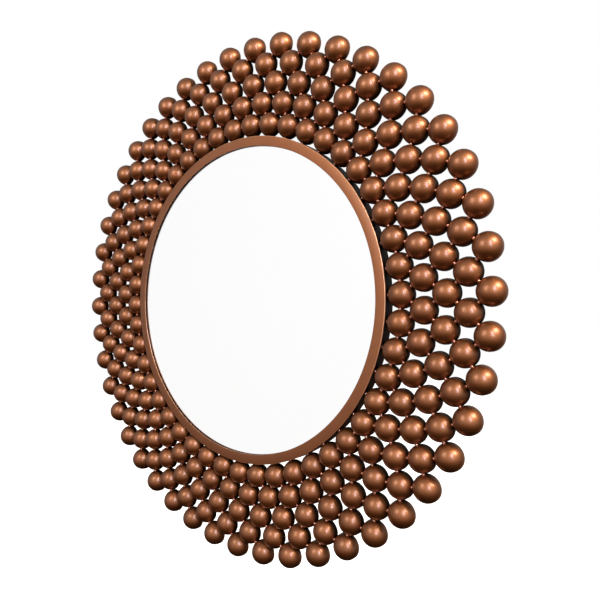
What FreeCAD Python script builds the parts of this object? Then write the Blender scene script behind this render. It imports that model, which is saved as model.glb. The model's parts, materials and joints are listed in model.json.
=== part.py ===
import FreeCAD, Part
import math
import os

os.makedirs("parts", exist_ok=True)
Vector = FreeCAD.Vector

# A round wall mirror. The wall is the plane y = 0, the mirror faces -Y, +Z is up,
# and the origin lies on the wall plane in line with the centre of the glass.

# Frame of domes
domes_per_ring = 46
ring_count = 5
dome_pitch = 40.0            # centre to centre of two domes that are welded together
weld_gap = 0.1               # root gap between two domes, and between a dome and the hoop
dome_sheet = 1.2
dome_skirt = 4.0             # straight wall behind the half ball
dome_rim_off_wall = 8.0
ring_turn_deg = 1.24         # how far the pattern is turned from a dome at three o'clock

# Tack welds
weld_width = 4.6
weld_height = 1.6

# Hoop round the glass
hoop_face_width = 16.2
hoop_sheet = 1.5
hoop_front_lead = 12.5       # how far its face stands ahead of the domes' widest plane
hoop_back_off_wall = 2.0
hoop_outer_round = 1.2
hoop_inner_round = 0.5

# Glass, tape and board
tape_thickness = 0.5
tape_setback = 0.8           # tape's inner edge behind the hoop's inner edge
glass_thickness = 3.0
glass_arris = 0.5
board_thickness = 9.0
board_edge_break = 0.6
disc_clearance = 0.5         # round the glass and the board, inside the bosses

# Turn clips with their bosses, washers and screws
clip_count = 6
boss_depth = 8.4             # radial
boss_width = 12.0
boss_length = 12.0
clip_thickness = 1.5
clip_reach = 20.0            # screw axis to the middle of the rounded tip
clip_eye_radius = 3.9
clip_tip_radius = 3.0
clip_gap = 0.2               # clip to boss and board
washer_gap = 0.1             # clip to washer
washer_radius = 4.0
washer_thickness = 0.8
clip_screw_radius = 1.95
clip_screw_length = 11.0     # under the head
clip_head_radius = 3.8
clip_head_height = 2.4
thread_gap = 0.05
turning_gap = 0.08           # running clearance of a turning piece

# Hangers
hanger_spread = 170.0        # centre line of the mirror to each strap
hanger_rise = 110.0          # centre of the mirror to the rings' pivots
strap_width = 16.0
strap_sheet = 1.5
strap_length = 42.0          # pivot to the rounded end
ring_wire_radius = 1.5
ring_half_width = 13.0       # middle line of the wire
ring_corner = 3.0
ring_arm = 6.0               # straight stretch between corner and bow
hanger_first_screw = 12.0    # below the pivot
hanger_end_margin = 8.0      # last screw to the rounded end
hanger_screw_radius = 1.75
hanger_screw_length = 8.5
hanger_screw_point = 2.5
hanger_head_radius = 3.4
hanger_head_height = 2.0
recess_length = 4.0
recess_width = 0.9
recess_depth = 1.2
pilot_depth = 8.0

# Wall bumpers
bumper_count = 4
bumper_inset = 37.0          # board's edge to the middle of a bumper
bumper_radius = 8.0
bumper_tip_radius = 6.5

overrun = 1.0                # how far a cutting shape runs past what it cuts

# Places that follow from the sizes
half_step = math.pi / domes_per_ring
dome_radius = (dome_pitch - weld_gap) / 2
rim_y = -dome_rim_off_wall
dome_y = rim_y - dome_skirt
first_ring_radius = dome_pitch / (2 * math.sin(half_step))
hoop_radius = first_ring_radius - dome_radius - weld_gap
hoop_bore = hoop_radius - hoop_face_width
hoop_wall_inner = hoop_radius - hoop_sheet
hoop_front_y = dome_y - hoop_front_lead
hoop_back_y = -hoop_back_off_wall
boss_inner = hoop_wall_inner - boss_depth
boss_axis = hoop_wall_inner - boss_depth / 2
disc_radius = boss_inner - disc_clearance
tape_y = hoop_front_y + hoop_sheet
glass_y = tape_y + tape_thickness
board_y = glass_y + glass_thickness
board_back_y = board_y + board_thickness
clip_y = board_back_y + clip_gap
washer_y = clip_y + clip_thickness + washer_gap
bumper_circle = disc_radius - bumper_inset
hanger_screw_places = (hanger_first_screw, strap_length - hanger_end_margin)
knuckle_radius = ring_wire_radius + turning_gap + strap_sheet
pivot_y = board_back_y + knuckle_radius

to_wall = Vector(0, 1, 0)
from_wall = Vector(0, -1, 0)
centre = Vector(0, 0, 0)


def write_node(name, solids):
    """Write one node as a STEP file holding its separate solids."""
    shape = solids[0] if len(solids) == 1 else Part.makeCompound(solids)
    shape.exportStep("parts/" + name + ".step")
    volume = sum(solid.Volume for solid in solids)
    print(name, len(solids), "solids", round(volume / 1000, 2), "cm3")


def turned(shape, angle):
    """Copy a shape, turned about the mirror's axis from +X towards +Z, in radians."""
    copy = shape.copy()
    copy.rotate(centre, from_wall, math.degrees(angle))
    return copy


def line(start, end):
    return Part.LineSegment(start, end).toShape()


def arc(start, middle, end):
    return Part.Arc(start, middle, end).toShape()


def profile_point(radius, y):
    return Vector(radius, y, 0)


def corner_arc(radius, y, size, turn_deg):
    """Quarter round about (radius, y), starting at turn_deg in the profile plane."""
    def on_arc(extra):
        angle = math.radians(turn_deg + extra)
        return profile_point(radius + size * math.cos(angle), y + size * math.sin(angle))
    return arc(on_arc(0), on_arc(45), on_arc(90))


def closed_profile(points):
    return [line(a, b) for a, b in zip(points, points[1:])]


def revolved(edges):
    """Turn a closed outline in the XY plane once round the mirror's axis."""
    face = Part.Face(Part.Wire(Part.__sortEdges__(edges)))
    return face.revolve(centre, to_wall, 360)


def disc(radius, y, thickness, edge_break):
    """Flat disc facing the room, with both edges broken."""
    solid = Part.makeCylinder(radius, thickness, Vector(0, y, 0), to_wall)
    rims = [edge for edge in solid.Edges if edge.Closed]
    return solid.makeChamfer(edge_break, rims)


def rod(radius, length, start, direction):
    return Part.makeCylinder(radius, length, start, direction)


# Domes and their welds

def ring_radii():
    """Each ring nests in the gaps of the one inside it, one pitch from two of its domes."""
    radii = [first_ring_radius]
    for _ in range(ring_count - 1):
        inner = radii[-1]
        rise = math.sqrt(dome_pitch ** 2 - (inner * math.sin(half_step)) ** 2)
        radii.append(inner * math.cos(half_step) + rise)
    return radii


radii = ring_radii()


def dome_centre(ring, index):
    stagger = half_step if ring % 2 else 0
    angle = math.radians(ring_turn_deg) + stagger + 2 * half_step * index
    return Vector(radii[ring] * math.cos(angle), dome_y, radii[ring] * math.sin(angle))


def dome():
    """Half ball with a short skirt, open at the back, centred on the mirror's axis."""
    inner = dome_radius - dome_sheet
    slant = math.sqrt(0.5)
    outer_top = profile_point(0, dome_y - dome_radius)
    inner_top = profile_point(0, dome_y - inner)
    edges = [
        arc(outer_top, profile_point(dome_radius * slant, dome_y - dome_radius * slant),
            profile_point(dome_radius, dome_y)),
        line(profile_point(dome_radius, dome_y), profile_point(dome_radius, rim_y)),
        line(profile_point(dome_radius, rim_y), profile_point(inner, rim_y)),
        line(profile_point(inner, rim_y), profile_point(inner, dome_y)),
        arc(profile_point(inner, dome_y), profile_point(inner * slant, dome_y - inner * slant),
            inner_top),
        line(inner_top, outer_top),
    ]
    return revolved(edges)


def dome_ring(ring):
    pattern = dome()
    solids = []
    for index in range(domes_per_ring):
        place = dome_centre(ring, index)
        solid = pattern.copy()
        solid.translate(Vector(place.x, 0, place.z))
        solids.append(solid)
    return solids


def weld_cap(place):
    """Low round bead on the back rims of the two pieces that meet at this place."""
    ball = (weld_width ** 2 / 4 + weld_height ** 2) / (2 * weld_height)
    sunk = ball - weld_height
    base = Vector(place.x, rim_y - sunk, place.z)
    return Part.makeSphere(ball, base, to_wall, math.degrees(math.asin(sunk / ball)), 90, 360)


def round_the_ring(patterns):
    return [turned(pattern, 2 * half_step * index)
            for index in range(domes_per_ring) for pattern in patterns]


def welds_in_first_ring():
    """Only the first ring's domes meet their own neighbours."""
    meeting = (dome_centre(0, 0) + dome_centre(0, 1)) / 2
    return round_the_ring([weld_cap(meeting)])


def welds_between(ring):
    """Each dome of a ring meets two domes of the next ring out."""
    own = dome_centre(ring, 0)
    outward = [dome_centre(ring + 1, index) for index in (-1, 0, 1)]
    nearest = sorted(outward, key=lambda place: (place - own).Length)[:2]
    return round_the_ring([weld_cap((own + place) / 2) for place in nearest])


def welds_to_hoop():
    own = dome_centre(0, 0)
    reach = hoop_radius / radii[0]
    cap = weld_cap(Vector(own.x * reach, 0, own.z * reach))
    hoop_body = rod(hoop_radius, weld_height + overrun * 2, Vector(0, rim_y - overrun, 0), to_wall)
    return round_the_ring([cap.cut(hoop_body).Solids[0]])


# Hoop, glass and board

def mirror_hoop():
    """Rolled angle: a flat face towards the room and a wall that runs back."""
    outer_round_y = hoop_front_y + hoop_outer_round
    inner_round_y = hoop_front_y + hoop_inner_round
    flange_back = hoop_front_y + hoop_sheet
    inner_round_radius = hoop_bore + hoop_inner_round
    outer_round_radius = hoop_radius - hoop_outer_round
    edges = [
        corner_arc(inner_round_radius, inner_round_y, hoop_inner_round, 180),
        line(profile_point(inner_round_radius, hoop_front_y),
             profile_point(outer_round_radius, hoop_front_y)),
        corner_arc(outer_round_radius, outer_round_y, hoop_outer_round, 270),
    ]
    edges += closed_profile([
        profile_point(hoop_radius, outer_round_y),
        profile_point(hoop_radius, hoop_back_y),
        profile_point(hoop_wall_inner, hoop_back_y),
        profile_point(hoop_wall_inner, flange_back),
        profile_point(hoop_bore, flange_back),
        profile_point(hoop_bore, inner_round_y),
    ])
    return revolved(edges)


def glazing_tape():
    outer = rod(disc_radius, tape_thickness, Vector(0, tape_y, 0), to_wall)
    inner_radius = hoop_bore + tape_setback
    inner = rod(inner_radius, tape_thickness + 2 * overrun, Vector(0, tape_y - overrun, 0), to_wall)
    return outer.cut(inner)


def hanger_sides():
    return {"left": -hanger_spread, "right": hanger_spread}


def backing_board():
    board = disc(disc_radius, board_y, board_thickness, board_edge_break)
    for x in hanger_sides().values():
        for drop in hanger_screw_places:
            mouth = Vector(x, board_back_y + overrun, hanger_rise - drop)
            board = board.cut(rod(hanger_screw_radius + thread_gap, pilot_depth + overrun,
                                  mouth, from_wall))
    return board


# Turn clips

def clip_angle(index):
    return math.pi / 2 + 2 * math.pi * index / clip_count


def clip_boss():
    """Block welded inside the hoop's wall, its outer side curved to fit, tapped along Y."""
    bottom = board_back_y - boss_length
    block = Part.makeBox(boss_depth + overrun, boss_length, boss_width,
                         Vector(boss_inner, bottom, -boss_width / 2))
    block = block.common(rod(hoop_wall_inner, boss_length, Vector(0, bottom, 0), to_wall))
    hole = rod(clip_screw_radius + thread_gap, boss_length + 2 * overrun,
               Vector(boss_axis, bottom - overrun, 0), to_wall)
    return block.cut(hole)


def turn_clip():
    """Strip with an eye on the boss and a rounded tip over the board."""
    eye_place = Vector(boss_axis, clip_y, 0)
    tip_place = Vector(boss_axis - clip_reach, clip_y, 0)
    eye = rod(clip_eye_radius, clip_thickness, eye_place, to_wall)
    tip = rod(clip_tip_radius, clip_thickness, tip_place, to_wall)
    bar = Part.makeBox(clip_reach, clip_thickness, 2 * clip_tip_radius,
                       Vector(boss_axis - clip_reach, clip_y, -clip_tip_radius))
    hole = rod(clip_screw_radius + turning_gap, clip_thickness + 2 * overrun,
               Vector(boss_axis, clip_y - overrun, 0), to_wall)
    return eye.fuse([bar, tip]).removeSplitter().cut(hole)


def clip_washer():
    ring = rod(washer_radius, washer_thickness, Vector(boss_axis, washer_y, 0), to_wall)
    hole = rod(clip_screw_radius + turning_gap, washer_thickness + 2 * overrun,
               Vector(boss_axis, washer_y - overrun, 0), to_wall)
    return ring.cut(hole)


def cross_recess(top):
    """Cross cut into a screw head whose top is at this place."""
    bottom = top.y - recess_depth
    bars = []
    for along_x, along_z in ((recess_length, recess_width), (recess_width, recess_length)):
        corner = Vector(top.x - along_x / 2, bottom, top.z - along_z / 2)
        bars.append(Part.makeBox(along_x, recess_depth + overrun, along_z, corner))
    return bars[0].fuse(bars[1])


def pan_head(seat, radius, height):
    """Round head that narrows at the top, with a cross recess."""
    side = height / 2
    low = rod(radius, side, seat, to_wall)
    high = Part.makeCone(radius, radius - side / 2, height - side,
                         seat + Vector(0, side, 0), to_wall)
    return low.fuse(high).cut(cross_recess(seat + Vector(0, height, 0)))


def clip_screw():
    seat = Vector(boss_axis, washer_y + washer_thickness, 0)
    shank = rod(clip_screw_radius, clip_screw_length, seat, from_wall)
    return pan_head(seat, clip_head_radius, clip_head_height).fuse(shank).removeSplitter()


def at_each_clip(pattern):
    return [turned(pattern, clip_angle(index)) for index in range(clip_count)]


# Hangers

def hanger_strap(x):
    """Strap on the board, folded into a knuckle round the ring's bar."""
    left = x - strap_width / 2
    straight = strap_length - strap_width / 2
    plate = Part.makeBox(strap_width, strap_sheet, straight,
                         Vector(left, board_back_y, hanger_rise - straight))
    end = rod(strap_width / 2, strap_sheet,
              Vector(x, board_back_y, hanger_rise - straight), to_wall)
    knuckle = rod(knuckle_radius, strap_width, Vector(left, pivot_y, hanger_rise), Vector(1, 0, 0))
    strap = plate.fuse([end, knuckle]).removeSplitter()
    strap = strap.cut(rod(ring_wire_radius + turning_gap, strap_width + 2 * overrun,
                          Vector(left - overrun, pivot_y, hanger_rise), Vector(1, 0, 0)))
    for drop in hanger_screw_places:
        strap = strap.cut(rod(hanger_screw_radius + thread_gap, strap_sheet + 2 * overrun,
                              Vector(x, board_back_y - overrun, hanger_rise - drop), to_wall))
    return strap


def wire_bend(middle, radius, start, turn_deg):
    """Stretch of round wire bent about a point, in the plane of the ring."""
    section = Part.Face(Part.Wire(Part.Circle(start, Vector(0, 0, 1), ring_wire_radius).toShape()))
    return section.revolve(middle, from_wall, turn_deg)


def d_ring(x):
    """Straight bar, two tight corners, two arms and a half round bow, standing up."""
    half_bar = ring_half_width - ring_corner
    bar = rod(ring_wire_radius, 2 * half_bar, Vector(x - half_bar, pivot_y, hanger_rise),
              Vector(1, 0, 0))
    corner_z = hanger_rise + ring_corner
    bow_z = corner_z + ring_arm
    right = Vector(x + ring_half_width, pivot_y, corner_z)
    left = Vector(x - ring_half_width, pivot_y, corner_z)
    pieces = [
        wire_bend(Vector(x + half_bar, pivot_y, corner_z), ring_corner, right, -90),
        wire_bend(Vector(x - half_bar, pivot_y, corner_z), ring_corner, left, 90),
        rod(ring_wire_radius, ring_arm, right, Vector(0, 0, 1)),
        rod(ring_wire_radius, ring_arm, left, Vector(0, 0, 1)),
        wire_bend(Vector(x, pivot_y, bow_z), ring_half_width,
                  Vector(x + ring_half_width, pivot_y, bow_z), 180),
    ]
    return bar.fuse(pieces).removeSplitter()


def hanger_screw(x, drop):
    seat = Vector(x, board_back_y + strap_sheet, hanger_rise - drop)
    straight = hanger_screw_length - hanger_screw_point
    shank = rod(hanger_screw_radius, straight, seat, from_wall)
    point = Part.makeCone(hanger_screw_radius, 0, hanger_screw_point,
                          seat - Vector(0, straight, 0), from_wall)
    return pan_head(seat, hanger_head_radius, hanger_head_height).fuse([shank, point]).removeSplitter()


def wall_bumper(index):
    angle = math.pi / bumper_count + 2 * math.pi * index / bumper_count
    foot = Vector(bumper_circle * math.cos(angle), board_back_y, bumper_circle * math.sin(angle))
    return Part.makeCone(bumper_radius, bumper_tip_radius, -board_back_y, foot, to_wall)


# The nodes

write_node("mirror_hoop", [mirror_hoop()])
for ring in range(ring_count):
    write_node("dome_ring_%d" % (ring + 1), dome_ring(ring))
write_node("tack_welds_ring_1", welds_in_first_ring())
for ring in range(ring_count - 1):
    write_node("tack_welds_ring_%d_to_%d" % (ring + 1, ring + 2), welds_between(ring))
write_node("tack_welds_hoop", welds_to_hoop())
write_node("glazing_tape", [glazing_tape()])
write_node("mirror_glass", [disc(disc_radius, glass_y, glass_thickness, glass_arris)])
write_node("backing_board", [backing_board()])
write_node("clip_bosses", at_each_clip(clip_boss()))
for index, clip in enumerate(at_each_clip(turn_clip())):
    write_node("turn_clip_%d" % (index + 1), [clip])
write_node("clip_washers", at_each_clip(clip_washer()))
write_node("clip_screws", at_each_clip(clip_screw()))
for side, x in hanger_sides().items():
    write_node("hanger_strap_" + side, [hanger_strap(x)])
    write_node("d_ring_" + side, [d_ring(x)])
write_node("hanger_screws", [hanger_screw(x, drop) for x in hanger_sides().values()
                             for drop in hanger_screw_places])
write_node("wall_bumpers", [wall_bumper(index) for index in range(bumper_count)])
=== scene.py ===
import json
import math
import random

import bmesh
import bpy
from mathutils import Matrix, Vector


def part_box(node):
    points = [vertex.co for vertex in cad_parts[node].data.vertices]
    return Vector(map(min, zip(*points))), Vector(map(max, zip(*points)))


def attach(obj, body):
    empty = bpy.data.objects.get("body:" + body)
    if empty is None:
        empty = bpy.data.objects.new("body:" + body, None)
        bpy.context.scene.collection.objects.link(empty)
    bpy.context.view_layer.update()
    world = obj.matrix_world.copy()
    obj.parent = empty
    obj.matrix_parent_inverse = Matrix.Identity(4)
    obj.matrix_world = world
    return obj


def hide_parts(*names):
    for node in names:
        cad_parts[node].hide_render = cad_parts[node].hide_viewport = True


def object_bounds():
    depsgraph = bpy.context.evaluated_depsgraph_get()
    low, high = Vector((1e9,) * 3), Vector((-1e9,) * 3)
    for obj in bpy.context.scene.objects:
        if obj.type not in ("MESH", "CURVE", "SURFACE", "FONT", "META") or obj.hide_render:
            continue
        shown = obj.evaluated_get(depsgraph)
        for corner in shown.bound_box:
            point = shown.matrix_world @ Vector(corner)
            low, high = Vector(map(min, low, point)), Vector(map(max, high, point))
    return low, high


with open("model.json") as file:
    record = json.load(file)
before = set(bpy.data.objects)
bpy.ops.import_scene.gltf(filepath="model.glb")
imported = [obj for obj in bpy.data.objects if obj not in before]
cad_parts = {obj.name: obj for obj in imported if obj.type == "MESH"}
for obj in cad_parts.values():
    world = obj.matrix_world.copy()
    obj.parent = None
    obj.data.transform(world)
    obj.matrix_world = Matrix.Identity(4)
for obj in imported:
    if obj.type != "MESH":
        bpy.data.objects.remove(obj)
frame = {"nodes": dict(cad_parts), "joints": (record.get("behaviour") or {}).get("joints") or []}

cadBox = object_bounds()
joints = {joint["name"]: joint for joint in frame["joints"]}
# lengths are in metres and angles in degrees, unless a name says otherwise
mm = 0.001
fullTurn = 2 * math.pi
quarterTurn = math.pi / 2
print("frame loaded:", len(frame["nodes"]), "nodes")


# small helpers

def hexColour(code):
    # sRGB hex to the linear values that the sockets want
    channels = [int(code[i:i + 2], 16) / 255 for i in (1, 3, 5)]
    return tuple(c / 12.92 if c <= 0.04045 else ((c + 0.055) / 1.055) ** 2.4 for c in channels) + (1.0,)


def addNode(tree, kind, values=None, links=None, **settings):
    node = tree.nodes.new(kind)
    for name, value in settings.items():
        setattr(node, name, value)
    for name, value in (values or {}).items():
        node.inputs[name].default_value = value
    for name, source in (links or {}).items():
        tree.links.new(source, node.inputs[name])
    return node


def emptyMaterial(name):
    material = bpy.data.materials.new(name)
    material.use_nodes = True
    material.node_tree.nodes.clear()
    return material, material.node_tree


def perMetre(sizeInMm):
    # a pattern's scale, from the real size of one of its features
    return 1 / (sizeInMm * mm)


def directionOf(azimuth, elevation):
    # azimuth 0 looks out of the mirror into the room, and grows to the right
    a, e = math.radians(azimuth), math.radians(elevation)
    return Vector((math.sin(a) * math.cos(e), -math.cos(a) * math.cos(e), math.sin(e)))


def smoothStep(low, high, value):
    share = min(max((value - low) / (high - low), 0.0), 1.0)
    return share * share * (3 - 2 * share)


def skin(rings, closed=False):
    # join rings of points into a surface; a ring of one point is a pole, and an open end gets a flat cap
    starts = [0]
    for ring in rings:
        starts.append(starts[-1] + len(ring))
    faces = []
    for here in range(len(rings) if closed else len(rings) - 1):
        there = (here + 1) % len(rings)
        countHere, countThere = len(rings[here]), len(rings[there])
        around = max(countHere, countThere)
        for i in range(around):
            j = (i + 1) % around
            corners = (starts[here] + i % countHere, starts[here] + j % countHere,
                       starts[there] + j % countThere, starts[there] + i % countThere)
            faces.append(tuple(dict.fromkeys(corners)))
    if not closed:
        for end in (0, len(rings) - 1):
            if len(rings[end]) > 1:
                faces.append(tuple(range(starts[end], starts[end] + len(rings[end]))))
    return [point for ring in rings for point in ring], faces


def joined(shells):
    points, faces = [], []
    for shellPoints, shellFaces in shells:
        faces += [tuple(corner + len(points) for corner in face) for face in shellFaces]
        points += shellPoints
    return points, faces


def meshPiece(name, shell, material, sharpAbove=40):
    mesh = bpy.data.meshes.new(name)
    mesh.from_pydata(shell[0], [], shell[1])
    work = bmesh.new()
    work.from_mesh(mesh)
    bmesh.ops.recalc_face_normals(work, faces=work.faces)
    work.to_mesh(mesh)
    work.free()
    mesh.polygons.foreach_set("use_smooth", [True] * len(mesh.polygons))
    mesh.set_sharp_from_angle(angle=math.radians(sharpAbove))
    mesh.materials.append(material)
    piece = bpy.data.objects.new(name, mesh)
    bpy.context.scene.collection.objects.link(piece)
    return piece


def addPointValues(piece, name, values):
    layer = piece.data.attributes.new(name, "FLOAT", "POINT")
    layer.data.foreach_set("value", values)


def placePiece(piece, body, slot, *nodes):
    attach(piece, body)
    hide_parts(*nodes)


def roundedOutline(corners, steps=4):
    # closed outline from (across, along, rounding) corners, each rounding as an arc
    outline = []
    for i, (across, along, rounding) in enumerate(corners):
        here = Vector((across, along))
        if rounding == 0:
            outline.append(here)
            continue
        before = (Vector(corners[i - 1][:2]) - here).normalized()
        after = (Vector(corners[(i + 1) % len(corners)][:2]) - here).normalized()
        half = before.angle(after) / 2
        middle = here + (before + after).normalized() * rounding / math.sin(half)
        first = here + before * rounding / math.tan(half) - middle
        last = here + after * rounding / math.tan(half) - middle
        turn = first.angle_signed(last)
        for step in range(steps + 1):
            a = -turn * step / steps
            spun = Vector((first.x * math.cos(a) - first.y * math.sin(a),
                           first.x * math.sin(a) + first.y * math.cos(a)))
            outline.append(middle + spun)
    return outline


def circle(place, radius, y, sides):
    # points round an axis that runs into the wall
    turns = [fullTurn * i / sides for i in range(sides)]
    return [(place.x + radius * math.cos(a), y, place.z + radius * math.sin(a)) for a in turns]


def turned(outline, sides):
    # an outline of (radius, y), turned once round the mirror's axis
    rings = []
    for side in range(sides):
        a = fullTurn * side / sides
        rings.append([(radius * math.cos(a), y, radius * math.sin(a)) for radius, y in outline])
    return skin(rings, closed=True)


def lathed(place, rows, sides):
    # rows of (radius, y) round an axis through the place; radius 0 is a pole
    return skin([circle(place, radius, y, sides if radius else 1) for radius, y in rows])


# camera: to the right of the mirror and level with its middle

cameraSetup = {
    "azimuth": 37.67,
    "elevation": 0.18,
    "distance": 0.9385,
    "target": (0.1091, -0.012, -0.0133),
    "focalPixels": 591.9,
    "imagePixels": 600,
    "axisPixel": (297.9, 308.5),   # where the lens axis meets the picture
    "sensorMm": 36.0,
    "nearest": 0.01,
}


def makeCamera(setup):
    camera = bpy.data.objects.new("camera", bpy.data.cameras.new("camera"))
    size = setup["imagePixels"]
    camera.data.sensor_width = setup["sensorMm"]
    camera.data.lens = setup["sensorMm"] * setup["focalPixels"] / size
    camera.data.shift_x = (size / 2 - setup["axisPixel"][0]) / size
    camera.data.shift_y = (setup["axisPixel"][1] - size / 2) / size
    camera.data.clip_start = setup["nearest"]
    towards = directionOf(setup["azimuth"], setup["elevation"])
    camera.location = Vector(setup["target"]) + setup["distance"] * towards
    camera.rotation_euler = towards.to_track_quat("Z", "Y").to_euler()
    bpy.context.scene.collection.objects.link(camera)
    bpy.context.scene.camera = camera


makeCamera(cameraSetup)
bpy.context.scene.view_settings.view_transform = "Standard"
print("camera placed")

# lamps: a warm softbox ahead, a tall cool one to the right, and a broad yellowish one beyond and above it

lampSetup = {
    "warmSoftbox": {"azimuth": -9, "elevation": 24, "distance": 1.8, "width": 0.7, "height": 0.9,
                    "watts": 12, "colour": "#FFEAD2"},
    "paleSoftbox": {"azimuth": 48, "elevation": 20, "distance": 3.0, "width": 0.55, "height": 1.7,
                    "watts": 56, "colour": "#D8E4FF"},
    "sideSoftbox": {"azimuth": 81, "elevation": 36, "distance": 3.0, "width": 1.4, "height": 1.1,
                    "watts": 100, "colour": "#FFE9CC"},
}


def makeLamp(name, setup):
    light = bpy.data.lights.new(name, "AREA")
    light.shape = "RECTANGLE"
    light.size = setup["width"]
    light.size_y = setup["height"]
    light.energy = setup["watts"]
    light.color = hexColour(setup["colour"])[:3]
    lamp = bpy.data.objects.new(name, light)
    towards = directionOf(setup["azimuth"], setup["elevation"])
    lamp.location = towards * setup["distance"]
    lamp.rotation_euler = towards.to_track_quat("Z", "Y").to_euler()
    lamp.visible_camera = False
    bpy.context.scene.collection.objects.link(lamp)


for lampName, setup in lampSetup.items():
    makeLamp(lampName, setup)

# room: white to the eye and through the glass; in reflections palest ahead, dark below and behind

roomSetup = {
    "colour": "#FFFFFF",
    "lowColour": "#FFBE9C",        # the warm dark floor that the undersides reflect
    "diffuse": 0.6,                # what matt surfaces get of it
    "ahead": 0.92,                 # its brightest part in reflections
    # each fade's axis (X across, Y into the wall, Z up), where it starts and ends, and the levels there
    "fades": {
        "floor": ("Z", (-0.78, 0.08), (0.02, 1.0)),
        "roof": ("Z", (0.4, 1.0), (1.0, 0.45)),
        "sides": ("Y", (-0.5, 0.75), (1.0, 0.24)),
        "left": ("X", (-1.0, -0.3), (0.42, 1.0)),
        "wall": ("Y", (0.55, 0.95), (0.0, 0.12)),     # the pale wall straight behind the mirror
        "lowTint": ("Z", (-0.7, 0.15), (0.0, 1.0)),
    },
}


def makeRoom(setup):
    world = bpy.data.worlds.new("room")
    bpy.context.scene.world = world
    world.use_nodes = True
    tree = world.node_tree
    tree.nodes.clear()
    place = addNode(tree, "ShaderNodeTexCoord")
    axes = addNode(tree, "ShaderNodeSeparateXYZ", links={0: place.outputs["Generated"]})
    fades = {}
    for name, (axis, ends, levels) in setup["fades"].items():
        fades[name] = addNode(tree, "ShaderNodeMapRange",
                              {"From Min": ends[0], "From Max": ends[1],
                               "To Min": levels[0], "To Max": levels[1]},
                              {"Value": axes.outputs[axis]}, interpolation_type="SMOOTHSTEP").outputs[0]
    ahead = addNode(tree, "ShaderNodeMath", {1: setup["ahead"]}, {0: fades["floor"]}, operation="MULTIPLY")
    for name in ("roof", "sides", "left"):
        ahead = addNode(tree, "ShaderNodeMath", links={0: ahead.outputs[0], 1: fades[name]},
                        operation="MULTIPLY")
    seen = addNode(tree, "ShaderNodeMath", links={0: ahead.outputs[0], 1: fades["wall"]}, operation="ADD")
    ray = addNode(tree, "ShaderNodeLightPath").outputs
    mirrored = addNode(tree, "ShaderNodeMix", {"A": setup["diffuse"]},
                       {"Factor": ray["Is Glossy Ray"], "B": seen.outputs[0]})
    straight = addNode(tree, "ShaderNodeMath", operation="MAXIMUM",
                       links={0: ray["Is Camera Ray"], 1: ray["Is Transmission Ray"]}).outputs[0]
    level = addNode(tree, "ShaderNodeMix", {"B": 1.0}, {"Factor": straight, "A": mirrored.outputs[0]})
    # sockets 6 and 7 and output 2 of a mix are its colours
    low = addNode(tree, "ShaderNodeMix", {6: hexColour(setup["lowColour"]), 7: hexColour(setup["colour"])},
                  {0: fades["lowTint"]}, data_type="RGBA")
    tint = addNode(tree, "ShaderNodeMix", {7: hexColour(setup["colour"])},
                   {0: straight, 6: low.outputs[2]}, data_type="RGBA")
    back = addNode(tree, "ShaderNodeBackground",
                   links={"Color": tint.outputs[2], "Strength": level.outputs[0]})
    addNode(tree, "ShaderNodeOutputWorld", links={"Surface": back.outputs[0]})


makeRoom(roomSetup)

floorSetup = {
    "drop": 0.25,                # below the mirror's lowest dome
    "radius": 5.0,
    "sides": 96,
    "colour": "#E9E7E3",
    "glowColour": "#FFFFFF",
    "glow": 0.82,                # brings the paper up to white, for the eye alone
}


def makeFloor(setup):
    # pale seamless paper under the hanging mirror: white to the eye but for the shadow on it
    material, tree = emptyMaterial("pale seamless paper")
    matt = addNode(tree, "ShaderNodeBsdfDiffuse", {"Color": hexColour(setup["colour"])})
    glow = addNode(tree, "ShaderNodeEmission",
                   {"Color": hexColour(setup["glowColour"]), "Strength": setup["glow"]})
    lit = addNode(tree, "ShaderNodeAddShader", links={0: matt.outputs[0], 1: glow.outputs[0]})
    ray = addNode(tree, "ShaderNodeLightPath").outputs
    straight = addNode(tree, "ShaderNodeMath", operation="MAXIMUM",
                       links={0: ray["Is Camera Ray"], 1: ray["Is Transmission Ray"]})
    pick = addNode(tree, "ShaderNodeMixShader",
                   links={0: straight.outputs[0], 1: matt.outputs[0], 2: lit.outputs[0]})
    addNode(tree, "ShaderNodeOutputMaterial", links={"Surface": pick.outputs[0]})
    level = cadBox[0][2] - setup["drop"]
    # a circle stands upright, so its y and z change places here
    upright = circle(Vector((0, 0, 0)), setup["radius"], level, setup["sides"])
    disc = [(x, z, y) for x, y, z in upright], [tuple(range(setup["sides"]))]
    floor = meshPiece("floor", disc, material)
    # reflections and the glass show the room in its place
    floor.visible_glossy = False
    floor.visible_transmission = False


makeFloor(floorSetup)
print("lamps, room and floor made")


# finishes

enamelSetup = {
    "colour": "#8B532B",
    "inside": "#7A4C33",         # thin dull overspray in the hollows
    "insideMetal": 0.3,
    "edgeHighlight": "#E2AE84",           # painted highlight on the hoop's front edges
    "shadeDark": 0.05,            # how much colour the painted shade in the crevices leaves
    "roughness": (0.46, 0.54),
    "coatRoughness": 0.25,
    "tones": (0.93, 1.05),       # of the darkest piece and the lightest
    "mottle": {"sizeMm": 16.0, "detail": 3.0, "roughness": 0.55},
    "mottleEnds": (0.3, 0.7),    # nearly the whole noise lies between these
    "mottleTones": (0.94, 1.06),
    # real flakes are near 0.05 mm, drawn larger so that they show
    "flakes": {"sizeMm": 0.8, "detail": 1.0, "roughness": 0.5},
    "orangePeel": {"sizeMm": 2.2, "detail": 2.0, "roughness": 0.5},
    "orangePeelStrength": 0.03,
    "orangePeelDepth": 0.2 * mm,
}


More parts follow.
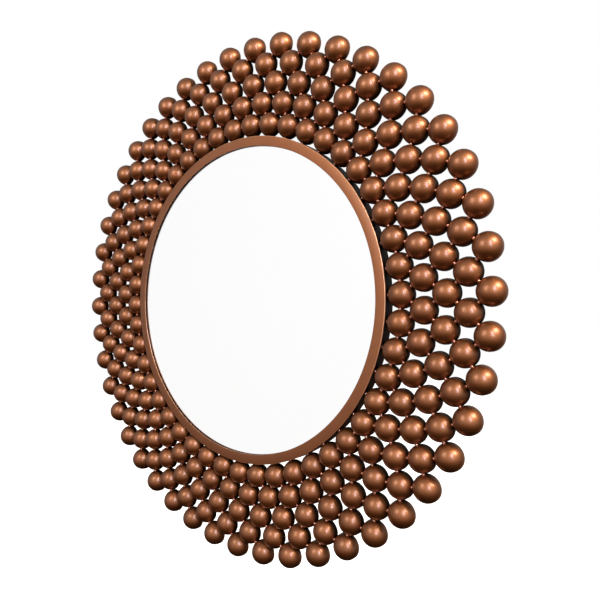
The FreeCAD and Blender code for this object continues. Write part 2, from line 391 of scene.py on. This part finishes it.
def copperEnamelFinish(setup):
    # stoved copper-brown metallic enamel, sprayed: flakes give broad soft glints, the clear film pale ones;
    # painted shade darkens the crevices and sets each dome off from the next, and a painted highlight makes
    # the hoop's front edges pale
    material, tree = emptyMaterial("copper metallic enamel")
    place = addNode(tree, "ShaderNodeTexCoord").outputs["Object"]
    noises = {}
    for name in ("mottle", "flakes", "orangePeel"):
        noise = setup[name]
        noises[name] = addNode(tree, "ShaderNodeTexNoise",
                               {"Scale": perMetre(noise["sizeMm"]), "Detail": noise["detail"],
                                "Roughness": noise["roughness"]}, {"Vector": place}).outputs[0]
    marks = {name: addNode(tree, "ShaderNodeAttribute", attribute_name=name).outputs["Fac"]
             for name in ("pieceTone", "hollow", "paintedShade", "edgeHighlight")}
    # what each level follows, the ends of that, and the level at each end
    whole = (0.0, 1.0)
    spreads = {
        "tone": (marks["pieceTone"], whole, setup["tones"]),
        "mottle": (noises["mottle"], setup["mottleEnds"], setup["mottleTones"]),
        # painted shade: colour darkened in the crevices and hollows, where neighbouring domes shade them
        "paintedShade": (marks["paintedShade"], whole, (1.0, setup["shadeDark"])),
        "metal": (marks["hollow"], whole, (1.0, setup["insideMetal"])),
        "rough": (noises["flakes"], whole, setup["roughness"]),
        "gloss": (marks["paintedShade"], whole, (1.0, 0.0)),     # the clear film is left out where shade is painted
    }
    levels = {}
    for name, (source, ends, results) in spreads.items():
        levels[name] = addNode(tree, "ShaderNodeMapRange",
                               {"From Min": ends[0], "From Max": ends[1],
                                "To Min": results[0], "To Max": results[1]},
                               {"Value": source}).outputs[0]
    value = levels["tone"]
    for name in ("mottle", "paintedShade"):
        value = addNode(tree, "ShaderNodeMath", links={0: value, 1: levels[name]},
                        operation="MULTIPLY").outputs[0]
    # painted highlight: the hoop's front edges are made pale to stand in for the light they catch
    # sockets 6 and 7 and output 2 of a mix are its colours
    highlighted = addNode(tree, "ShaderNodeMix", {6: hexColour(setup["colour"]), 7: hexColour(setup["edgeHighlight"])},
                     {0: marks["edgeHighlight"]}, data_type="RGBA")
    surface = addNode(tree, "ShaderNodeMix", {7: hexColour(setup["inside"])},
                      {0: marks["hollow"], 6: highlighted.outputs[2]}, data_type="RGBA")
    colour = addNode(tree, "ShaderNodeHueSaturation", links={"Color": surface.outputs[2], "Value": value})
    bump = addNode(tree, "ShaderNodeBump",
                   {"Strength": setup["orangePeelStrength"], "Distance": setup["orangePeelDepth"]},
                   {"Height": noises["orangePeel"]})
    paint = addNode(tree, "ShaderNodeBsdfPrincipled", {"Coat Roughness": setup["coatRoughness"]},
                    {"Base Color": colour.outputs[0], "Metallic": levels["metal"],
                     "Roughness": levels["rough"], "Coat Weight": levels["gloss"],
                     "Normal": bump.outputs[0]})
    addNode(tree, "ShaderNodeOutputMaterial", links={"Surface": paint.outputs[0]})
    return material


grainSetup = {
    "detail": 4.0,
    "roughness": 0.6,
    "ends": (0.35, 0.65),        # where the grain reaches the one colour and the other
    "roughnessSpread": 0.08,     # the surface is this much rougher or smoother than its mean
    "bumpStrength": 0.5,
}


def plainFinish(name, colours, grainMm, roughness, metallic=0.0, bumpMm=0.02, stretch=(1, 1, 1)):
    # two close colours mixed by a noise of a real size, which also moves the roughness and a fine bump
    material, tree = emptyMaterial(name)
    place = addNode(tree, "ShaderNodeTexCoord").outputs["Object"]
    drawn = addNode(tree, "ShaderNodeMapping", {"Scale": stretch}, {"Vector": place})
    grain = addNode(tree, "ShaderNodeTexNoise",
                    {"Scale": perMetre(grainMm), "Detail": grainSetup["detail"],
                     "Roughness": grainSetup["roughness"]}, {"Vector": drawn.outputs[0]})
    ramp = addNode(tree, "ShaderNodeValToRGB", links={0: grain.outputs[0]})
    for stop, position, colour in zip(ramp.color_ramp.elements, grainSetup["ends"], colours):
        stop.position = position
        stop.color = hexColour(colour)
    spread = grainSetup["roughnessSpread"]
    rough = addNode(tree, "ShaderNodeMapRange",
                    {"To Min": roughness - spread, "To Max": roughness + spread},
                    {"Value": grain.outputs[0]})
    bump = addNode(tree, "ShaderNodeBump",
                   {"Strength": grainSetup["bumpStrength"], "Distance": bumpMm * mm},
                   {"Height": grain.outputs[0]})
    surface = addNode(tree, "ShaderNodeBsdfPrincipled", {"Metallic": metallic},
                      {"Base Color": ramp.outputs[0], "Roughness": rough.outputs[0],
                       "Normal": bump.outputs[0]})
    addNode(tree, "ShaderNodeOutputMaterial", links={"Surface": surface.outputs[0]})
    return material


hazeSetup = {"sizeMm": 60.0, "detail": 2.0, "roughest": 0.01}


def polishedFinish(name, values):
    # a surface as flat as glass, with the faintest haze in it
    material, tree = emptyMaterial(name)
    place = addNode(tree, "ShaderNodeTexCoord").outputs["Object"]
    haze = addNode(tree, "ShaderNodeTexNoise",
                   {"Scale": perMetre(hazeSetup["sizeMm"]), "Detail": hazeSetup["detail"]},
                   {"Vector": place})
    rough = addNode(tree, "ShaderNodeMapRange", {"To Min": 0.0, "To Max": hazeSetup["roughest"]},
                    {"Value": haze.outputs[0]})
    surface = addNode(tree, "ShaderNodeBsdfPrincipled", values, {"Roughness": rough.outputs[0]})
    addNode(tree, "ShaderNodeOutputMaterial", links={"Surface": surface.outputs[0]})
    return material


copperEnamel = copperEnamelFinish(enamelSetup)
# pale pink metal on the welds, lighter than the enamel: a painted highlight for the small pink glints where
# domes meet
glintMetal = plainFinish("pale weld metal with painted glint", ("#DDA28C", "#EBB9A4"),
                           grainMm=1.6, roughness=0.3, metallic=1.0)
# clear float glass: no tint to be seen face on
floatGlass = polishedFinish("clear float glass", {"Base Color": hexColour("#FFFFFF"), "IOR": 1.52,
                                                  "Transmission Weight": 1.0})
# silver laid wet on the glass's back: a sharp bright picture
mirrorSilver = polishedFinish("mirror silver", {"Base Color": hexColour("#FFFFFF"), "Metallic": 1.0})
# closed-cell foam: dull black with fine pores
foamTape = plainFinish("black foam tape", ("#0B0B0B", "#1C1C1B"), grainMm=0.8, roughness=0.9)
# pressed wood fibre: pale brown flecks under a hard smooth skin
fibreboard = plainFinish("sanded fibreboard", ("#9A754C", "#B89266"),
                         grainMm=2.5, roughness=0.75, stretch=(1, 1, 3))
# bright zinc plate on steel: bluish grey with faint cloudy crystals
zincPlate = plainFinish("bright zinc plate", ("#A9AEB3", "#C3C7C9"),
                        grainMm=3.0, roughness=0.34, metallic=1.0, bumpMm=0.01)
# moulded rubber: matt, nearly black
rubber = plainFinish("moulded black rubber", ("#111111", "#1F1F1E"), grainMm=1.5, roughness=0.8)
print("finishes made")


# domes: half balls with a short skirt, each ring nested in the gaps of the one inside it

domeSetup = {
    "perRing": 46,
    "rings": 5,
    "pitch": 40.0 * mm,
    "radius": 19.92 * mm,
    "sheet": 1.2 * mm,
    "turn": 1.24,                # the first dome of all is this far above level, at the right
    "segments": 40,
    "crownRows": 12,
    "rimSteps": 2,
    "innerRows": 6,
    "rimRound": 0.3 * mm,
    "rimHollow": 0.3,            # the rim has a share of the finish in the hollows
    # painted shade: the share of it that the inside of each dome gets
    "insideShade": 0.3,
    "shadeShares": (0.55, 0.76),  # where the painted shade of the crevices starts and is full, as shares of a dome's depth
    "shadeSides": (-0.2, 0.6),    # the same round an outermost dome: -1 is its open side, 1 its inner
    "unevenness": 0.12 * mm,     # pressing marks, all inwards
    "waves": 3,
    "waveCounts": (2, 3),
    "waveSizes": (0.3, 1.0),
    "seed": 46,
}
halfStep = math.pi / domeSetup["perRing"]
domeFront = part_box("dome_ring_1")[0].y
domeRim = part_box("dome_ring_1")[1].y
domeWidest = domeFront + domeSetup["radius"]


def ringRadii(setup):
    # each ring's radius, so that its domes are one pitch from those of the ring inside it
    found = [setup["pitch"] / (2 * math.sin(halfStep))]
    while len(found) < setup["rings"]:
        rise = math.sqrt(setup["pitch"] ** 2 - (found[-1] * math.sin(halfStep)) ** 2)
        found.append(found[-1] * math.cos(halfStep) + rise)
    return found


radii = ringRadii(domeSetup)


def domeCentre(ring, index):
    a = math.radians(domeSetup["turn"]) + halfStep * (2 * index + ring % 2)
    return Vector((radii[ring] * math.cos(a), domeWidest, radii[ring] * math.sin(a)))


def domeRows(setup):
    # (radius, y, hollow) of each row, from the crown over the rim to the inside of the crown
    outer, inner, edge = setup["radius"], setup["radius"] - setup["sheet"], setup["rimRound"]
    rows = []
    for i in range(1, setup["crownRows"] + 1):
        a = quarterTurn * i / setup["crownRows"]
        rows.append((outer * math.sin(a), domeWidest - outer * math.cos(a), 0.0))
    rim = roundedOutline([(outer, domeWidest, 0), (outer, domeRim, edge), (inner, domeRim, edge),
                          (inner, domeWidest, 0)], setup["rimSteps"])
    rows += [(radius, y, setup["rimHollow"]) for radius, y in rim[1:-1]]
    for i in range(setup["innerRows"]):
        a = quarterTurn * i / setup["innerRows"]
        rows.append((inner * math.cos(a), domeWidest - inner * math.sin(a), 1.0))
    return rows


def makeDomeRing(setup, ring, chance):
    rows = domeRows(setup)
    outermost = ring == setup["rings"] - 1
    shells, tones, hollows, shadeValues = [], [], [], []
    for index in range(setup["perRing"]):
        centre = domeCentre(ring, index)
        outwards = math.atan2(centre.z, centre.x)
        waves = [(chance.randint(*setup["waveCounts"]), chance.uniform(0, fullTurn),
                  chance.uniform(*setup["waveSizes"])) for _ in range(setup["waves"])]
        rings = [[(centre.x, domeFront, centre.z)]]
        hollows.append(0.0)
        shadeValues.append(0.0)
        for radius, y, hollow in rows:
            # painted shade: darker deeper in each dome, where the crevices between domes lie
            depth = smoothStep(*setup["shadeShares"], (y - domeFront) / (domeRim - domeFront))
            around = []
            for side in range(setup["segments"]):
                a = fullTurn * side / setup["segments"]
                # from 0 to 1, as each wave adds up to 2
                dent = sum(size * (1 + math.sin(count * a + phase)) for count, phase, size in waves)
                dent /= 2 * setup["waves"]
                reach = radius - setup["unevenness"] * dent * radius / setup["radius"]
                around.append((centre.x + reach * math.cos(a), y, centre.z + reach * math.sin(a)))
                # the open side of the outermost ring has no crevice, so no painted shade
                shut = smoothStep(*setup["shadeSides"], -math.cos(a - outwards)) if outermost else 1.0
                shadeValues.append(setup["insideShade"] if hollow == 1 else depth * shut)
                hollows.append(hollow)
            rings.append(around)
        rings.append([(centre.x, domeFront + setup["sheet"], centre.z)])
        hollows.append(1.0)
        shadeValues.append(setup["insideShade"])
        shells.append(skin(rings))
        tones += [chance.random()] * len(shells[-1][0])
    piece = meshPiece("domeRing%d" % (ring + 1), joined(shells), copperEnamel)
    addPointValues(piece, "pieceTone", tones)
    addPointValues(piece, "hollow", hollows)
    addPointValues(piece, "paintedShade", shadeValues)
    placePiece(piece, "mirror", "copper_paint", "dome_ring_%d" % (ring + 1))


chance = random.Random(domeSetup["seed"])
for ring in range(domeSetup["rings"]):
    makeDomeRing(domeSetup, ring, chance)
print("domes made:", domeSetup["rings"] * domeSetup["perRing"])

# tack welds: a bead on the back rims that runs forward between two domes and fills the groove in front

weldSetup = {
    "width": 4.6 * mm,
    "height": 1.6 * mm,
    "beadShares": ((0.55, 0.12), (0.9, 0.45)),   # the bead's rows: how wide, and how far below its top
    "neck": 1.1 * mm,
    "fillAcross": 3.1 * mm,      # half the groove's filled length
    "fillAlong": 1.9 * mm,       # half its width, from dome to dome
    "fillDepth": 3.2 * mm,
    "fillShares": (0.35, 0.65, 0.85, 0.97),      # heights of the rows of the filled groove's rounded pad
    "fillAhead": 7.0 * mm,       # its top, ahead of the domes' widest plane
    "offHoop": 0.46 * mm,        # from the hoop's wall to the middle of the welds on it
    "sides": 12,
    "lump": 0.14,                # how uneven a bead is, as a share of its radius
    "sharpAbove": 80,
}


def weldShell(place, along, setup, chance):
    # along is the direction from one dome to the other
    across = Vector((-along.z, 0, along.x))
    top, front = domeRim + setup["height"], domeWidest - setup["fillAhead"]
    half, neck, deep = setup["width"] / 2, setup["neck"], setup["fillDepth"]
    rows = [(half * wide, half * wide, top - setup["height"] * drop) for wide, drop in setup["beadShares"]]
    rows += [(half, half, domeRim), (neck, neck, domeRim - setup["height"]), (neck, neck, front + deep)]
    for share in setup["fillShares"]:
        # a rounded pad, widest at its foot
        rise = math.sqrt(1 - share * share)
        rows.append((setup["fillAcross"] * rise, setup["fillAlong"] * rise, front + deep * (1 - share)))
    rings = [[(place.x, top, place.z)]]
    for reachAcross, reachAlong, y in rows:
        around = []
        for side in range(setup["sides"]):
            a = fullTurn * side / setup["sides"]
            wobble = 1 - setup["lump"] * chance.random()
            spot = place + wobble * (across * reachAcross * math.cos(a) + along * reachAlong * math.sin(a))
            around.append((spot.x, y, spot.z))
        rings.append(around)
    rings.append([(place.x, front, place.z)])
    return skin(rings)


def makeWelds(name, node, pairs, setup, chance):
    shells = []
    for first, second in pairs:
        along = Vector((second.x - first.x, 0, second.z - first.z)).normalized()
        shells.append(weldShell((first + second) / 2, along, setup, chance))
    piece = meshPiece(name, joined(shells), glintMetal, setup["sharpAbove"])
    placePiece(piece, "mirror", "copper_paint", node)


places = range(domeSetup["perRing"])
pairs = [(domeCentre(0, i), domeCentre(0, i + 1)) for i in places]
makeWelds("weldsRing1", "tack_welds_ring_1", pairs, weldSetup, chance)
for ring in range(domeSetup["rings"] - 1):
    behind = -1 if ring % 2 == 0 else 1
    pairs = [(domeCentre(ring, i), domeCentre(ring + 1, i + shift))
             for i in places for shift in (0, behind)]
    makeWelds("weldsRing%dTo%d" % (ring + 1, ring + 2), "tack_welds_ring_%d_to_%d" % (ring + 1, ring + 2),
              pairs, weldSetup, chance)
# a weld on the hoop lies halfway between a dome and a twin of it inside the hoop
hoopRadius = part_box("mirror_hoop")[1].x
twinShare = 2 * (hoopRadius + weldSetup["offHoop"]) / radii[0] - 1
pairs = []
for i in places:
    dome = domeCentre(0, i)
    pairs.append((dome, Vector((dome.x * twinShare, domeWidest, dome.z * twinShare))))
makeWelds("weldsHoop", "tack_welds_hoop", pairs, weldSetup, chance)
print("welds made")

# hoop: a rolled angle ring, flat face to the front, wall to the domes

hoopSetup = {
    "faceWidth": 16.2 * mm,
    "sheet": 1.5 * mm,
    "outerRound": 1.2 * mm,
    "innerRound": 0.6 * mm,
    "edgeRound": 0.3 * mm,
    "roundSteps": 6,
    "highlightStart": 0.03 * mm,      # the painted highlight on the front edges starts this far behind the face
    "highlightShare": 0.9,            # to this share of their rounding
    "highlightOuter": 0.7,
    "highlightInner": 0.35,
    "shadeShares": (0.06, 0.14),  # where the painted shade on the wall starts and is full, as shares of its depth
    "tone": 1.0,                 # as light as the lightest dome, a painted brightening that stands in for more light on the hoop's face
    "sides": 360,
}


def makeHoop(setup):
    (_, front, _), (outer, back, _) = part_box("mirror_hoop")
    bore, wall = outer - setup["faceWidth"], outer - setup["sheet"]
    flange, edge = front + setup["sheet"], setup["edgeRound"]
    # rows of points where the painted shade on the wall starts, is half there and is full
    shadeStart, shadeFull = (front + share * (back - front) for share in setup["shadeShares"])
    outline = roundedOutline([
        (bore, front, setup["innerRound"]), (outer, front, setup["outerRound"]),
        (outer, shadeStart, 0), (outer, (shadeStart + shadeFull) / 2, 0), (outer, shadeFull, 0),
        (outer, back, edge), (wall, back, edge), (wall, flange, edge), (bore, flange, edge)],
        setup["roundSteps"])
    piece = meshPiece("hoop", turned(outline, setup["sides"]), copperEnamel)
    # the front edges get a pale painted highlight, and the wall behind the face gets painted shade
    edgeHighlight, shadeValues = [], []
    for radius, y in outline:
        outside = radius > wall
        rounding = setup["outerRound"] if outside else setup["innerRound"]
        onEdge = setup["highlightStart"] < y - front < setup["highlightShare"] * rounding
        edgeHighlight.append(setup["highlightOuter" if outside else "highlightInner"] if onEdge else 0.0)
        depth = (y - front) / (back - front)
        shadeValues.append(smoothStep(*setup["shadeShares"], depth) if outside else 0.0)
    addPointValues(piece, "edgeHighlight", edgeHighlight * setup["sides"])
    addPointValues(piece, "paintedShade", shadeValues * setup["sides"])
    addPointValues(piece, "pieceTone", [setup["tone"]] * len(piece.data.vertices))
    placePiece(piece, "mirror", "copper_paint", "mirror_hoop")


makeHoop(hoopSetup)

# glass, board and tape

discSetup = {
    "sides": 256,
    "roundSteps": 3,
    "glassArris": 0.5 * mm,
    "silverDepth": 0.1 * mm,     # the glass's faces this close to its back are silvered
    "boardBreak": 0.8 * mm,
    "boardGap": 0.15 * mm,       # the board stays this far behind the silver, so that no face is shared
    "tapeEdge": 0.1 * mm,
    "tapeSetback": 0.8 * mm,     # behind the inner edge of the hoop's face
}


def discOutline(node, edge, inner=0.0, gap=0.0):
    (_, front, _), (outer, back, _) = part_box(node)
    front += gap
    return roundedOutline([(inner, front, 0), (outer, front, edge), (outer, back, edge), (inner, back, 0)],
                          discSetup["roundSteps"])


def discShell(node, edge, sides, gap=0.0):
    # a row just inside each edge keeps the faces flat
    rows = discOutline(node, edge, gap=gap)
    flat = rows[1][0] - 2 * edge
    rows = rows[:1] + [(flat, rows[0][1])] + rows[1:-1] + [(flat, rows[-1][1])] + rows[-1:]
    return lathed(Vector((0, 0, 0)), rows, sides)


def makeDiscs(setup):
    glass = meshPiece("glass", discShell("mirror_glass", setup["glassArris"], setup["sides"]), floatGlass)
    glass.data.materials.append(mirrorSilver)
    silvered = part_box("mirror_glass")[1].y - setup["silverDepth"]
    for face in glass.data.polygons:
        face.material_index = 1 if face.center.y > silvered else 0
    placePiece(glass, "mirror", "silvered_glass", "mirror_glass")
    boardShell = discShell("backing_board", setup["boardBreak"], setup["sides"], setup["boardGap"])
    board = meshPiece("board", boardShell, fibreboard)
    placePiece(board, "mirror", "fibreboard", "backing_board")
    inner = hoopRadius - hoopSetup["faceWidth"] + setup["tapeSetback"]
    tapeShell = turned(discOutline("glazing_tape", setup["tapeEdge"], inner), setup["sides"])
    tape = meshPiece("tape", tapeShell, foamTape)
    placePiece(tape, "mirror", "foam_tape", "glazing_tape")


makeDiscs(discSetup)
print("hoop, glass, tape and board made")

# turn clips: pressed strips that swing on their screws and hold the board

clipSetup = {
    "count": 6,
    "reach": 20.0 * mm,
    "eye": 3.9 * mm,
    "tip": 3.0 * mm,
    "hole": 2.03 * mm,
    "edge": 0.35 * mm,
    "bevelShare": 0.3,           # the edges' middle row, as a share of their rounding
    "arcSteps": 14,
}


def clipOutline(setup):
    # (point, outward normal, matching direction on the hole) round the clip: its eye, then its tip
    meet, steps = math.asin(setup["tip"] / setup["eye"]), setup["arcSteps"]
    turns = []
    for i in range(2 * steps + 1):
        a = -math.pi + meet + (fullTurn - 2 * meet) * i / (2 * steps)
        turns.append((0.0, setup["eye"], a, a))
    for i in range(steps + 1):
        # the hole's points stay evenly spread here, so that no side of it cuts into the screw
        onHole = math.pi - meet + 2 * meet * (i + 1) / (steps + 2)
        turns.append((-setup["reach"], setup["tip"], quarterTurn + math.pi * i / steps, onHole))
    return [(Vector((middle + radius * math.cos(a), radius * math.sin(a))),
             Vector((math.cos(a), math.sin(a))), Vector((math.cos(onHole), math.sin(onHole))))
            for middle, radius, a, onHole in turns]


def makeClip(index, setup):
    name = "turn_clip_%d" % (index + 1)
    screw = Vector(joints["clip_%d_swivel" % (index + 1)]["pos_m"])
    outwards = Vector((screw.x, 0, screw.z)).normalized()
    sideways = Vector((-outwards.z, 0, outwards.x))
    low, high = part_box(name)[0].y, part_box(name)[1].y
    edge, bevel = setup["edge"], setup["edge"] * setup["bevelShare"]
    outline = clipOutline(setup)
    hole = [onHole * setup["hole"] for _, _, onHole in outline]

    def placed(spots, y):
        return [tuple(Vector((screw.x, y, screw.z)) + outwards * s.x + sideways * s.y) for s in spots]

    def row(inset, y):
        return placed([point - normal * inset for point, normal, _ in outline], y)

    rings = [row(edge, low), row(bevel, low + bevel), row(0, low + edge), row(0, high - edge),
             row(bevel, high - bevel), row(edge, high), placed(hole, high), placed(hole, low)]
    piece = meshPiece("turnClip%d" % (index + 1), skin(rings, closed=True), zincPlate)
    placePiece(piece, "clip_%d" % (index + 1), "zinc_plate", name)


for index in range(clipSetup["count"]):
    makeClip(index, clipSetup)

# hangers: a strap folded round the straight bar of a wire ring

strapSetup = {
    "width": 16.0 * mm,
    "sheet": 1.5 * mm,
    "length": 42.0 * mm,
    "bendRadius": 2.33 * mm,     # middle of the sheet in the fold
    "bendTurn": 318,
    "edge": 0.3 * mm,
    "endSteps": 8,
    "bendSteps": 22,
}


def makeStrap(side, joint, setup):
    node = "hanger_strap_" + side
    pivot = Vector(joint["pos_m"])
    half, thin, edge = setup["width"] / 2, setup["sheet"] / 2, setup["edge"]
    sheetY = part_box(node)[0].y + thin
    # (y, z, the sheet's normal in y and z, half the width) of each section
    sections = []
    for i in range(1, setup["endSteps"] + 1):
        # the rounded free end
        a = quarterTurn * i / setup["endSteps"]
        z = pivot.z - setup["length"] + half * (1 - math.cos(a))
        sections.append((sheetY, z, -1.0, 0.0, half * math.sin(a)))
    for i in range(setup["bendSteps"] + 1):
        a = math.radians(setup["bendTurn"]) * i / setup["bendSteps"]
        y, z = -math.cos(a), math.sin(a)
        sections.append((pivot.y + setup["bendRadius"] * y, pivot.z + setup["bendRadius"] * z, y, z, half))
    rings = []
    for y, z, normalY, normalZ, wide in sections:
        bevel = min(edge, wide / 2)
        corners = [(wide, thin - bevel), (wide - bevel, thin),
                   (bevel - wide, thin), (-wide, thin - bevel),
                   (-wide, bevel - thin), (bevel - wide, -thin),
                   (wide - bevel, -thin), (wide, bevel - thin)]
        rings.append([(pivot.x + u, y + normalY * v, z + normalZ * v) for u, v in corners])
    piece = meshPiece("hangerStrap" + side.capitalize(), skin(rings), zincPlate)
    placePiece(piece, "mirror", "zinc_plate", node)


ringSetup = {
    "wire": 1.5 * mm,            # half the wire's thickness
    "halfWidth": 13.0 * mm,
    "corner": 3.0 * mm,
    "arm": 6.0 * mm,
    "sides": 18,
    "cornerSteps": 6,
    "bowSteps": 28,
}


def makeHangingRing(side, joint, setup):
    pivot, intoWall = Vector(joint["pos_m"]), Vector((0, 1, 0))
    wide, corner = setup["halfWidth"], setup["corner"]

    # (across, up, radius, direction that the wire's outside faces) along the wire's middle, anticlockwise
    def bend(across, start):
        return [(across, corner, corner, start + quarterTurn * i / setup["cornerSteps"])
                for i in range(setup["cornerSteps"] + 1)]

    bow = [(0.0, corner + setup["arm"], wide, math.pi * i / setup["bowSteps"])
           for i in range(setup["bowSteps"] + 1)]
    rings = []
    for across, up, radius, a in bend(wide - corner, -quarterTurn) + bow + bend(corner - wide, math.pi):
        out = Vector((math.cos(a), 0, math.sin(a)))
        middle = pivot + Vector((across, 0, up)) + out * radius
        turns = [fullTurn * i / setup["sides"] for i in range(setup["sides"])]
        rings.append([tuple(middle + setup["wire"] * (out * math.cos(t) + intoWall * math.sin(t)))
                      for t in turns])
    piece = meshPiece("hangingRing" + side.capitalize(), skin(rings, closed=True), zincPlate)
    placePiece(piece, side + "_ring", "zinc_plate", "d_ring_" + side)


for side in ("left", "right"):
    makeStrap(side, joints[side + "_ring_swing"], strapSetup)
    makeHangingRing(side, joints[side + "_ring_swing"], ringSetup)

# wall bumpers: tapered rubber feet with a dished tip

bumperSetup = {
    "foot": 8.0 * mm,
    "footRound": 0.2 * mm,
    "tip": 6.5 * mm,
    "tipRound": 1.2 * mm,
    "dishRim": 3.9 * mm,
    "dish": 3.0 * mm,
    "dishDepth": 0.4 * mm,
    "sides": 40,
    "sharpAbove": 50,
}


def makeBumpers(setup):
    low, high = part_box("wall_bumpers")
    dishFloor = high.y - setup["dishDepth"]
    outline = roundedOutline([(0, low.y, 0), (setup["foot"], low.y, setup["footRound"]),
                              (setup["tip"], high.y, setup["tipRound"]), (setup["dishRim"], high.y, 0),
                              (setup["dish"], dishFloor, 0), (0, dishFloor, 0)])
    reach = high.x - setup["foot"]
    shells = [lathed(Vector((reach * x, 0, reach * z)), outline, setup["sides"])
              for x in (-1, 1) for z in (-1, 1)]
    piece = meshPiece("wallBumpers", joined(shells), rubber, setup["sharpAbove"])
    placePiece(piece, "mirror", "black_rubber", "wall_bumpers")


makeBumpers(bumperSetup)
print("clips, hangers and bumpers made")

# bosses, washers and screws keep their solids and get a finish
for name, node in frame["nodes"].items():
    if not node.hide_render:
        node.data.materials.clear()
        node.data.materials.append(copperEnamel if name == "clip_bosses" else zincPlate)
